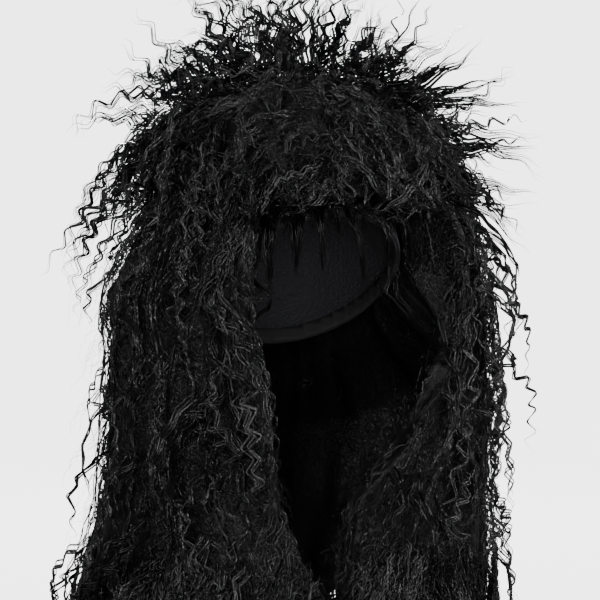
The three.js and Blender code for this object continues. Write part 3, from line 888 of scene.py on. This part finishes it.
# Each row: turn, rise on the dome, lift above the horizon, droop, length in mm, crimp
SPIKES = [
    (250, 86, 84, -10, 78, 1.0),
    (236, 84, 96, 14, 84, 1.0),
    (70, 80, 82, 12, 78, 1.0),
    (70, 86, 52, 0, 72, 0.3),
    (60, 64, 96, 0, 70, 0.4),
    (255, 72, 62, 60, 80, 1.0),
    (250, 62, 74, 30, 95, 1.0),
    (262, 56, 76, 90, 90, 1.0),
    (246, 74, 92, 30, 85, 1.1),
    (248, 40, -26, 56, 185, 0.9),
    (252, 30, -40, 42, 170, 0.8),
    (243, 48, -14, 68, 165, 0.8),
    (66, 58, 36, -8, 96, 0.3),
    (70, 52, 24, -4, 100, 0.2),
    (78, 50, 8, -6, 100, 0.2),
    (64, 44, 4, 10, 92, 0.3),
    (74, 36, -16, -20, 104, 0.25),
    (66, 28, -10, 24, 96, 0.3),
    (72, 20, 14, 26, 92, 0.15),
    (70, 10, -20, -20, 84, 0.2),
    (62, 4, -40, 10, 84, 0.3),
    (96, 44, 24, 30, 80, 0.5),
    (118, 30, 10, 40, 80, 0.5),
    (140, 52, 36, 50, 80, 0.8),
    (160, 24, 2, 50, 80, 0.8),
    (182, 44, 26, 60, 80, 0.8),
    (204, 26, 6, 60, 80, 1.0),
    (222, 48, 30, 60, 85, 1.0),
    (30, 60, 40, 80, 60, 0.8),
    (330, 60, 42, 90, 60, 1.0),
]

# Spikes at random places. Each row: how many, ranges of turn, rise, lift above the rise, droop
# and length in metres, the crimps to choose from, and the strands in each
LOOPED = [
    (44, (215, 290), (20, 90), (-35, 20), (20, 150), (0.055, 0.105), [0.9], 5),
    (18, (240, 265), (40, 88), (-25, 35), (10, 120), (0.080, 0.120), [0.9], 5),
]
TEASED = [
    (26, (-70, 110), (56, 90), (-40, 20), (-20, 70), (0.045, 0.090), [0.9], 4),
    (60, (30, 110), (0, 85), (-55, 5), (-20, 60), (0.040, 0.095), [0.3, 0.9], 4),
    (44, (110, 330), (5, 85), (-50, 10), (0, 80), (0.030, 0.065), [0.9], 3),
]

# How deep a spike is rooted, and how far apart its strands start
SPIKE_ROOT = 0.015
STRAND_GAP = 0.0023

# Corners of the box that stray hair stays in
LOWEST, HIGHEST = (-0.209, -0.143, -0.455), (0.218, 0.183, 0.157)


def spike(bundle, rng, turn, rise, lift, droop, length, crimp, strands):
    """A lock that leaves the dome at a turn and rise. Its strands draw together at the tip. With
    little crimp it is nearly straight and ends in a long thin point."""
    turn, rise = math.radians(turn), math.radians(rise)
    root, _ = settle(turn, -DOME_ARC * rise / (math.pi / 2), 0.0)
    total, steps = length + SPIKE_ROOT, 25
    walk = np.linspace(0, 1, steps)
    pitch = np.radians(lift - droop * walk**1.3)
    yaw = turn + rng.normal(0, 0.2 if lift < 0 else 0.55) * walk
    level = np.cos(pitch)
    heading = np.stack([level * np.sin(yaw), -level * np.cos(yaw), np.sin(pitch)], 1)
    sideways = np.stack([np.cos(yaw), np.sin(yaw), 0 * yaw], 1)
    upward = np.cross(sideways, heading)
    line = root - heading[0] * SPIKE_ROOT + np.cumsum(heading, axis=0) * total / steps
    tone = rng.uniform(0.0, 0.6)
    if crimp > 0.6:
        wave, corners, shortest, joined, widen, tip = (0.017, 0.025), 4, 0.75, 0.3, 1, 0.4
    else:
        wave, corners, shortest, joined, widen, tip = (0.030, 0.045), 2, 0.6, 0.1, 1.4, 0.8
    at, swing = crimps(rng, total, rng.uniform(*wave), crimp, EVEN)
    tilt = rng.normal(math.pi / 2, 0.5)
    for strand in range(strands):
        beside, above = rng.normal(0, 1, 2) * (0.0012, 0.0004)
        above += STRAND_GAP * (strand - strands / 2)
        split, part = rng.normal(0, 0.003, 2)
        reach = rng.uniform(shortest, 1.0)

        def path_at(t):
            pull = np.maximum(1 - t, joined)
            across, over = beside * pull + split * t**3, above * pull + part * t**3
            middle, aside, facing = [
                np.stack([np.interp(t, walk, column) for column in lines.T], 1)
                for lines in (line, sideways, upward)
            ]
            path = middle + aside * across[:, None] + facing * over[:, None]
            return np.clip(path, LOWEST, HIGHEST), facing

        shift = rng.normal(0, 0.04) / len(at)
        lean = tilt + rng.normal(0, 0.1)
        swings = swing * rng.uniform(0.9, 1.1)
        path, facing, t = crimped(path_at, at, swings, shift, lean, corners, reach)
        w = taper(t, rng.uniform(0.0006, 0.0010) * widen, tip=tip)
        bundle.add(path, facing, w, w * 0.8, tone)


def scattered(bundle, rng, rows):
    """Spikes at random places, as a table's rows say."""
    for count, turns, rises, lifts, droops, lengths, choice, strands in rows:
        for _ in range(count):
            turn, rise = rng.uniform(*turns), rng.uniform(*rises)
            crimp = rng.choice(choice) if len(choice) > 1 else choice[0]
            lift, droop = rise + rng.uniform(*lifts), rng.uniform(*droops)
            spike(bundle, rng, turn, rise, lift, droop, rng.uniform(*lengths), crimp, strands)


def drooping(bundle, rng):
    """Long locks that leave the crown's right side downwards and hang free of the curtain."""
    for _ in range(28):
        turn, rise = rng.uniform(230, 275), rng.uniform(0, 50)
        lift, droop, crimp = rng.uniform(-42, -16), rng.uniform(36, 60), rng.uniform(0.62, 0.85)
        spike(bundle, rng, turn, rise, lift, droop, rng.uniform(0.060, 0.160), crimp, 4)


def crown_spikes():
    rng = np.random.default_rng(311)
    bundle = Strands()
    for turn, rise, lift, droop, length, crimp in SPIKES:
        spike(bundle, rng, turn, rise, lift, droop, length / 1000, crimp, 7)
    scattered(bundle, rng, LOOPED)
    drooping(bundle, rng)
    scattered(bundle, rng, TEASED)
    bundle.build("crown_spikes")


crown_spikes()


# Flyaways. Single fibres that static and teasing pull loose, fine as a thread: nearly straight
# ones all round the wig, and a thin web of kinked ones beside the right curtain.
def straight_fibres(bundle, rng, count):
    steps = 6
    for _ in range(count):
        turn = rng.uniform(0, 2 * math.pi)
        down = rng.uniform(-0.16, 0.30)
        out = rng.uniform(-0.004, 0.002)
        root, normal = settle(turn, down, out)
        stray = rng.normal(0, 0.6, 3) + np.array([0, 0, -0.5 if down > 0 else 0.2])
        way = normal + stray
        way /= np.linalg.norm(way)
        bend = rng.normal(0, 0.5, 3)
        t = np.linspace(0, 1, steps)[:, None]
        length = rng.uniform(0.012, 0.030) if down > 0 else rng.uniform(0.02, 0.05)
        path = np.clip(root + length * (way * t + bend * t**2 * 0.5), LOWEST, HIGHEST)
        facing = np.cross(way, bend) / np.linalg.norm(np.cross(way, bend))
        w = rng.uniform(0.00009, 0.00016) * np.linspace(1, 0.4, steps)
        bundle.add(path, np.tile(facing, (steps, 1)), w, w, rng.uniform(0.2, 0.8))


def kinked_fibres(bundle, rng, count):
    steps, kink, tone = 9, 0.0013, 0.4
    sag = np.array([0, 0, -0.75])
    for _ in range(count):
        turn, down = math.radians(rng.uniform(228, 272)), rng.uniform(-0.12, 0.30)
        root, normal = settle(turn, down, -0.002)
        way = normal + rng.normal(0, 0.35, 3)
        t = np.linspace(0, 1, steps)[:, None]
        length = rng.uniform(0.015, 0.040) if down > 0.03 else rng.uniform(0.03, 0.07)
        path = root + length * (way * t * (1 - 0.45 * t) + sag * t**2)
        path = np.clip(path + rng.normal(0, kink, (steps, 3)) * (t > 0), LOWEST, HIGHEST)
        w = rng.uniform(0.00010, 0.00018) * np.linspace(1, 0.5, steps)
        facing = [-math.cos(turn), -math.sin(turn), 0.01]
        bundle.add(path, np.tile(facing, (steps, 1)), w, w, tone)


def flyaways():
    rng = np.random.default_rng(511)
    bundle = Strands()
    straight_fibres(bundle, rng, 380)
    kinked_fibres(bundle, rng, 350)
    bundle.build("flyaways")


flyaways()


# Fringe. Short pointed wisps sewn along the front of the cap hang into the front opening, over
# a dense fuzzy hem, and one longer lock curls in from the right curtain.

# Straighter fibre drawn into points: black and dull, with little of the crimps' sparkle
dull_hair, _, _ = hair_material("black_modacrylic_straight_dull", "#010101", "#020202", 0.08)

# Each row: turn, length in mm below the hairline, sideways drift in mm, strands
WISPS = [
    (-39, 66, 6, 14),
    (-33, 62, -4, 13),
    (-27, 34, 5, 11),
    (-20, 50, -6, 15),
    (-13, 48, 3, 12),
    (-5, 18, 2, 12),
    (2, 62, 9, 20),
    (10, 18, -3, 12),
    (18, 42, 7, 13),
    (27, 16, -2, 12),
    (36, 40, 4, 12),
    (44, 40, 6, 12),
]

# The curled lock: turn in degrees, height in mm
CURL = [(-56, -78), (-50, -98), (-43, -113), (-34, -126), (-37, -134), (-45, -141), (-53, -150)]

# How high the fringe is sewn, and how far in front of the cap's hollow it hangs
FRINGE_SEAM = -0.040
FRINGE_GAP = 0.005


def hang(turn, z, out):
    """Points and normals close in front of the cap's hollow."""
    level = np.sqrt(np.clip(1 - ((z + HOLLOW[2]) / HOLLOW[2]) ** 2, 0, 1))
    wide, deep = HOLLOW[0] + FRINGE_GAP, HOLLOW[1] + FRINGE_GAP
    radius = level / np.hypot(np.sin(turn) / wide, np.cos(turn) / deep)
    facing = np.stack([np.sin(turn), -np.cos(turn), 0 * turn], 1)
    path = np.stack([radius * np.sin(turn), -radius * np.cos(turn), z], 1)
    return path + facing * out[:, None], facing


def wisp(bundle, rng, degrees, length, drift, strands, root, thin, thick):
    """Strands that leave a stretch of hairline, root wide, draw together and end in a point."""
    base, total = math.radians(degrees), length + 0.020
    at, swing = crimps(rng, total, rng.uniform(0.026, 0.036), 0.2)
    for _ in range(strands):
        beside, split = rng.uniform(-1, 1) * root, rng.normal(0, 0.012)
        above = rng.uniform(0.001, 0.005)
        reach = rng.uniform(0.75, 1.0)

        def path_at(t):
            turn = base + beside * (1 - t) ** 1.3 + split * t**3 + drift * t**1.4 / 0.1
            return hang(turn, FRINGE_SEAM - total * t * reach, above + 0.007 * np.sin(math.pi * t))

        shift, lean = rng.normal(0, 0.25) / len(at), rng.normal(0, 0.9)
        path, facing, t = crimped(path_at, at, swing, shift, lean)
        w = taper(t, rng.uniform(thin, thick), tip=0.6)
        bundle.add(path, facing, w, w * 0.7, rng.uniform(0.1, 0.6))


def curled_lock(bundle, rng):
    """Five strands along the curl, in step."""
    turns, heights = np.array(CURL, dtype=float).T
    walk = np.linspace(0, 1, len(CURL))
    at, swing = crimps(rng, 0.09, 0.018, 0.4)
    for _ in range(5):
        beside, above = rng.normal(0, 0.012), rng.normal(0, 0.0014)

        def path_at(t):
            turn = np.radians(np.interp(t, walk, turns)) + beside
            z = np.interp(t, walk, heights) / 1000 + above
            return hang(turn, z, 0.004 + 0 * t)

        path, facing, t = crimped(path_at, at, swing * 0.5, 0.0, 0.2)
        w = taper(t, rng.uniform(0.0005, 0.0009), tip=0.5)
        bundle.add(path, facing, w, w * 0.7, 0.3)


def fringe():
    rng = np.random.default_rng(411)
    bundle = Strands()
    for degrees, length, drift, strands in WISPS:
        wisp(bundle, rng, degrees, length / 1000, drift / 1000, strands, 0.06, 0.0005, 0.0012)
    for _ in range(90):
        degrees, length = rng.uniform(-40, 52), rng.uniform(0.004, 0.022)
        wisp(bundle, rng, degrees, length, rng.normal(0, 0.006), 4, 0.05, *FRIZZ[:2])
    curled_lock(bundle, rng)
    piece = bundle.build("fringe_locks", dull_hair)
    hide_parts("fringe_hair")


fringe()


# Studio. A pale seamless floor and backdrop under soft lights, and a camera that looks into the
# front opening. The picture's lower edge crops the ends.
FLOOR_HEIGHT = -0.470

# Backlit white paper: evenly bright, so that it meets the backdrop without a seam
paper, tree, shader = new_material("white_paper_backlit")
shader.inputs["Base Color"].default_value = linear("#404040")
shader.inputs["Roughness"].default_value = 1.0
shader.inputs["Specular IOR Level"].default_value = 0.0
shader.inputs["Emission Color"].default_value = linear("#ffffff")
shader.inputs["Emission Strength"].default_value = 4.0

bpy.ops.object.select_all(action="DESELECT")
bpy.ops.mesh.primitive_plane_add(size=12, location=(0, 0, FLOOR_HEIGHT))
floor = bpy.context.object
floor.name = "studio_floor"
floor.visible_diffuse = False
floor.visible_glossy = False
floor.data.materials.append(paper)

# The backdrop is bright for the camera only, and a dim sky for the hair
SKY, BACKDROP = 0.6, 4.0
world = bpy.data.worlds.new("studio")
world.use_nodes = True
bpy.context.scene.world = world
tree = world.node_tree
backdrop = tree.nodes["Background"]
backdrop.inputs["Color"].default_value = linear("#ffffff")
rays = add_node(tree, "ShaderNodeLightPath").outputs["Is Camera Ray"]
strength = add_node(
    tree, "ShaderNodeMath", {0: rays, 1: BACKDROP - SKY, 2: SKY}, operation="MULTIPLY_ADD"
)
tree.links.new(strength.outputs["Value"], backdrop.inputs["Strength"])


def soft_light(name, place, size, power):
    """A square area light aimed at the wig's middle."""
    data = bpy.data.lights.new(name, "AREA")
    data.size = size
    data.energy = power
    lamp = bpy.data.objects.new(name, data)
    bpy.context.collection.objects.link(lamp)
    lamp.location = place
    aim = np.array([0, 0, -0.13]) - np.array(place)
    lamp.rotation_euler = Vector(aim).to_track_quat("-Z", "Y").to_euler()


soft_light("key", (-1.2, -1.6, 1.0), 0.5, 115)
soft_light("fill", (1.4, -1.3, 0.5), 0.5, 78)
soft_light("front", (-0.45, -1.9, -0.25), 1.0, 30)
soft_light("top", (0.1, 0.2, 1.6), 0.6, 25)
soft_light("back", (0.6, 2.0, 0.8), 0.6, 230)

# The camera looks level from the right curtain's side and sees 0.5 m of width at the axis.
CAMERA_TURN = math.radians(-20)
CAMERA_AWAY = 1.8
CAMERA_HEIGHT = -0.1275
CAMERA_ASIDE = -0.0025
PICTURE_WIDTH = 0.5
camera_data = bpy.data.cameras.new("camera")
camera_data.sensor_width = 36
camera_data.lens = camera_data.sensor_width * CAMERA_AWAY / PICTURE_WIDTH
camera = bpy.data.objects.new("camera", camera_data)
bpy.context.collection.objects.link(camera)
right = np.array([math.cos(CAMERA_TURN), math.sin(CAMERA_TURN), 0])
back = np.array([math.sin(CAMERA_TURN), -math.cos(CAMERA_TURN), 0])
camera.location = CAMERA_ASIDE * right + CAMERA_AWAY * back + np.array([0, 0, CAMERA_HEIGHT])
camera.rotation_euler = (math.pi / 2, 0, CAMERA_TURN)
bpy.context.scene.camera = camera
